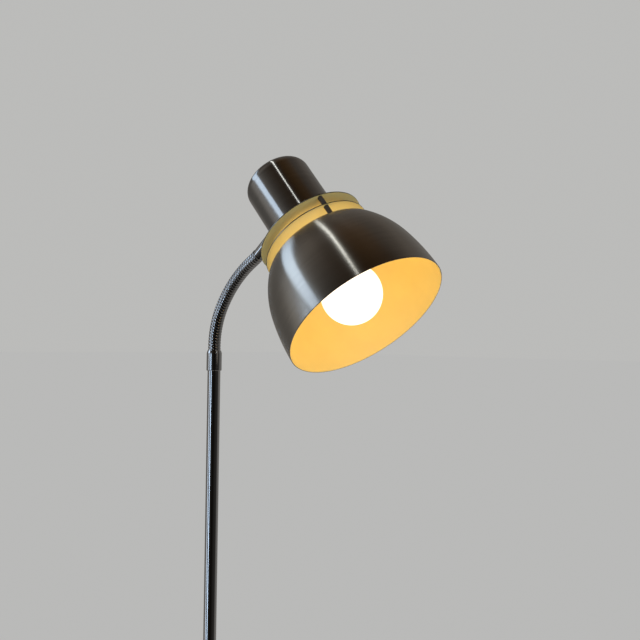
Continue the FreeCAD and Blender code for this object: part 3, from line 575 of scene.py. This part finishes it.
def make_neck(materials):
    """One stretch per joint, each from the middle of one link to the middle of the next."""
    pivots = [ribs * RIB_PITCH for ribs in JOINT_RIBS]
    total = RIB_COUNT * RIB_PITCH
    cuts = [0.0] + [(low + high) / 2 for low, high in zip(pivots, pivots[1:])] + [total]
    for index, pivot in enumerate(pivots):
        piece = neck_tube(f"neck_stretch_{index + 1}", cuts[index], cuts[index + 1],
                          materials["chrome_neck"])
        reach = min(pivot - cuts[index], cuts[index + 1] - pivot)
        start, _ = neck_place(pivot - reach)
        end, _ = neck_place(pivot + reach)
        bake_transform(piece)
        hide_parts(f"neck_link_{index + 1}")
        if index == len(pivots) - 1:
            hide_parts("neck_link_7")


# ---------------------------------------------------------------- stage and light

# The middle of the studio, close to the lamp's head.
STUDIO_CENTRE = Vector((0.17, 0, 1.2))
STUDIO_RADIUS = 2.75
FLOOR_REACH = 60
FLOOR_COLOUR = (0.70, 0.70, 0.69)
FLOOR_ROUGHNESS = 0.9
BACKGROUND = (0.50, 0.50, 0.49)
SOFT_LIGHT = 0.70

# Brightness of the dark studio's walls by bearing, in degrees from the picture's middle, right
# positive, and how it fades with height, in degrees above the level.
WALL_BY_BEARING = ((-180, 0.003), (-128, 0.03), (-112, 0.10), (-95, 0.22), (-80, 0.26),
                   (-65, 0.10), (-45, 0.10), (-15, 0.22), (15, 0.19), (55, 0.15), (78, 0.11),
                   (105, 0.02), (180, 0.003))
FADE_BY_HEIGHT = ((-10, 1.0), (15, 1.0), (45, 0.6), (58, 0.42), (68, 0.36), (80, 0.22))
WALL_TINT = (1.0, 0.96, 0.90)
CEILING = (0.024, 0.013, 0.005)
CEILING_BY_HEIGHT = ((20, 0.06), (50, 0.8), (66, 0.7), (80, 2.2))

DAYLIGHT = (0.60, 0.78, 1.0)
SKYLIGHT = (0.95, 1.0, 0.98)
# Soft panels as (name, start, end, width, radiance, colour).
PANELS = (
    ("window_high", (-0.92, -2.26, 1.56), (-2.07, 0.29, 2.41), 0.50, 1.35, DAYLIGHT),
    ("window_low", (-1.28, -1.86, 0.02), (-1.28, -1.86, 1.35), 0.32, 1.3, DAYLIGHT),
    ("window_near", (-0.1, -2.1, 0.02), (-0.1, -2.1, 1.35), 0.22, 3.0, DAYLIGHT),
    ("skylight", (0.85, -1.5, 3.2), (-1.48, 0.38, 3.3), 0.075, 2.7, SKYLIGHT),
)

BULB_LIGHT_POWER = 0.115
BULB_LIGHT_COLOUR = (1.0, 0.62, 0.10)
BULB_LIGHT_RADIUS = 0.028


def ramp(value, stops):
    """A value read off a few (place, level) stops, with smooth steps between them."""
    if value <= stops[0][0]:
        return stops[0][1]
    for (low, first), (high, second) in zip(stops, stops[1:]):
        if value <= high:
            share = (value - low) / (high - low)
            share = share * share * (3 - 2 * share)
            return first + (second - first) * share
    return stops[-1][1]


def studio_colour(way):
    """Colour of the studio in one direction from its middle."""
    ahead = CAMERA_RIGHT.cross(CAMERA_UP) * -1
    ahead = Vector((ahead.x, ahead.y, 0)).normalized()
    right = Vector((ahead.y, -ahead.x, 0))
    bearing = math.degrees(math.atan2(way.dot(right), way.dot(ahead)))
    height = math.degrees(math.asin(max(min(way.z, 1), -1)))
    wall = ramp(bearing, WALL_BY_BEARING) * ramp(height, FADE_BY_HEIGHT)
    above = ramp(height, CEILING_BY_HEIGHT)
    return [wall * tint + above * part for tint, part in zip(WALL_TINT, CEILING)]


def studio_material():
    """A surface that shines by itself in the colours kept in the mesh."""
    material = bpy.data.materials.new("studio_room")
    material.use_nodes = True
    material.cycles.emission_sampling = "NONE"
    tree = material.node_tree
    tree.nodes.clear()
    source = tree.nodes.new("ShaderNodeVertexColor")
    source.layer_name = "level"
    glow = tree.nodes.new("ShaderNodeEmission")
    output = tree.nodes.new("ShaderNodeOutputMaterial")
    tree.links.new(source.outputs["Color"], glow.inputs["Color"])
    tree.links.new(glow.outputs["Emission"], output.inputs["Surface"])
    return material


def make_studio():
    """A dark room round the lamp that only its polished metal sees."""
    rows, columns = 60, 120
    vertices = []
    colours = []
    for row in range(rows + 1):
        height = math.pi * (row / rows - 0.5)
        for column in range(columns):
            turn = 2 * math.pi * column / columns
            way = Vector((math.cos(height) * math.cos(turn), math.cos(height) * math.sin(turn),
                          math.sin(height)))
            vertices.append(STUDIO_CENTRE + way * STUDIO_RADIUS)
            colours.append(studio_colour(way))
    faces = [(row * columns + column, row * columns + (column + 1) % columns,
              (row + 1) * columns + (column + 1) % columns, (row + 1) * columns + column)
             for row in range(rows) for column in range(columns)]
    room = new_piece("studio_room", vertices, faces, [studio_material()])
    level = room.data.color_attributes.new("level", "FLOAT_COLOR", "POINT")
    for item, colour in zip(level.data, colours):
        item.color = (*colour, 1)
    room.visible_camera = False
    room.visible_diffuse = False
    room.visible_transmission = False
    room.visible_shadow = False


def make_floor():
    material, _, shader = new_material("floor", FLOOR_COLOUR, 0.0, FLOOR_ROUGHNESS)
    shader.inputs["Specular IOR Level"].default_value = 0
    corners = [(x * FLOOR_REACH, y * FLOOR_REACH, 0)
               for x, y in ((-1, -1), (1, -1), (1, 1), (-1, 1))]
    floor = new_piece("floor", corners, [(0, 1, 2, 3)], [material])
    floor.visible_glossy = False


def make_world():
    """Even soft light, and a plain backdrop that the camera, metal and glass see instead."""
    world = bpy.data.worlds.new("studio")
    bpy.context.scene.world = world
    world.use_nodes = True
    tree = world.node_tree
    soft = tree.nodes["Background"]
    soft.inputs["Color"].default_value = (1, 1, 1, 1)
    soft.inputs["Strength"].default_value = SOFT_LIGHT
    backdrop = tree.nodes.new("ShaderNodeBackground")
    backdrop.inputs["Color"].default_value = (*BACKGROUND, 1)
    path = tree.nodes.new("ShaderNodeLightPath").outputs
    seen = maths(tree, "MAXIMUM", path["Is Camera Ray"], path["Is Glossy Ray"])
    seen = maths(tree, "MAXIMUM", seen, path["Is Transmission Ray"])
    choose = tree.nodes.new("ShaderNodeMixShader")
    tree.links.new(seen, choose.inputs["Fac"])
    tree.links.new(soft.outputs[0], choose.inputs[1])
    tree.links.new(backdrop.outputs[0], choose.inputs[2])
    tree.links.new(choose.outputs[0], tree.nodes["World Output"].inputs["Surface"])


def make_panel(name, start, end, width, radiance, colour):
    """A long soft panel from start to end that faces the studio's middle. Only polished metal
    sees it, about as bright as a surface of the given radiance."""
    start, end = Vector(start), Vector(end)
    middle = (start + end) / 2
    data = bpy.data.lights.new(name, "AREA")
    data.shape = "RECTANGLE"
    data.size = (end - start).length
    data.size_y = width
    data.energy = radiance * math.pi * data.size * width
    data.color = colour
    light = bpy.data.objects.new(name, data)
    bpy.context.collection.objects.link(light)
    along = (end - start).normalized()
    back = middle - STUDIO_CENTRE
    back = (back - along * back.dot(along)).normalized()
    light.matrix_world = placed(along, back.cross(along), back, middle)
    light.visible_camera = False
    light.visible_diffuse = False


def make_bulb_light():
    """The light in the bulb, which falls on the shade's inside and the louvres."""
    data = bpy.data.lights.new("bulb_light", "POINT")
    data.energy = BULB_LIGHT_POWER
    data.color = BULB_LIGHT_COLOUR
    data.shadow_soft_size = BULB_LIGHT_RADIUS
    light = bpy.data.objects.new("bulb_light", data)
    bpy.context.collection.objects.link(light)
    light.matrix_world = Matrix.Translation(HEAD @ Vector((0, 0, BULB_RADIUS * MM)))
    light.visible_camera = False
    light.visible_glossy = False
    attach(light, "head")


def main():
    make_camera()
    materials = make_materials()
    dress_nodes(materials)
    make_shade(materials)
    make_louvres(materials)
    make_cap(materials)
    make_bulb(materials)
    make_neck(materials)
    make_floor()
    make_world()
    make_studio()
    for panel in PANELS:
        make_panel(*panel)
    make_bulb_light()
    bpy.context.scene.view_settings.view_transform = "Standard"


main()
